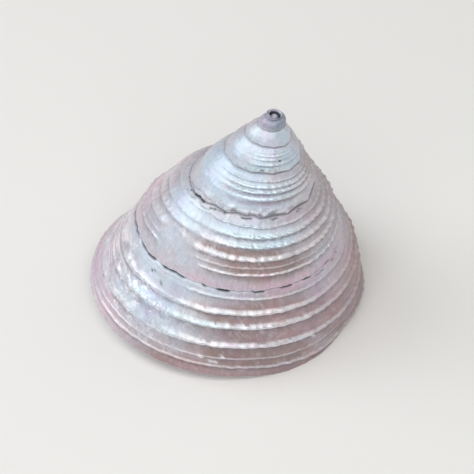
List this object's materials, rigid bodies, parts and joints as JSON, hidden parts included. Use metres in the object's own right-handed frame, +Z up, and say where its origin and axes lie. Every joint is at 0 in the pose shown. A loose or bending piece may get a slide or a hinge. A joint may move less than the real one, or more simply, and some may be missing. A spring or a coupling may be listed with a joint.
{
  "type": "top shell",
  "caption": "Low conical sea snail shell polished to mother of pearl, with beaded spiral cords, a worn open tip and a slanting mouth; it stands on its base, leaning a little.",
  "frame": {"origin": "centre of the bounding box on the ground that the shell rests on", "axes": "+Z up, +X to the right as seen from the front, the side shown in the picture, and -Y towards the front; the shell's tip leans towards +X"},
  "size_m": [0.0516, 0.0478, 0.0421],
  "materials": {
    "nacre": "polished mother of pearl with a satin gloss"
  },
  "bodies": {
    "root": {"shell": "nacre"}
  },
  "joints": []
}
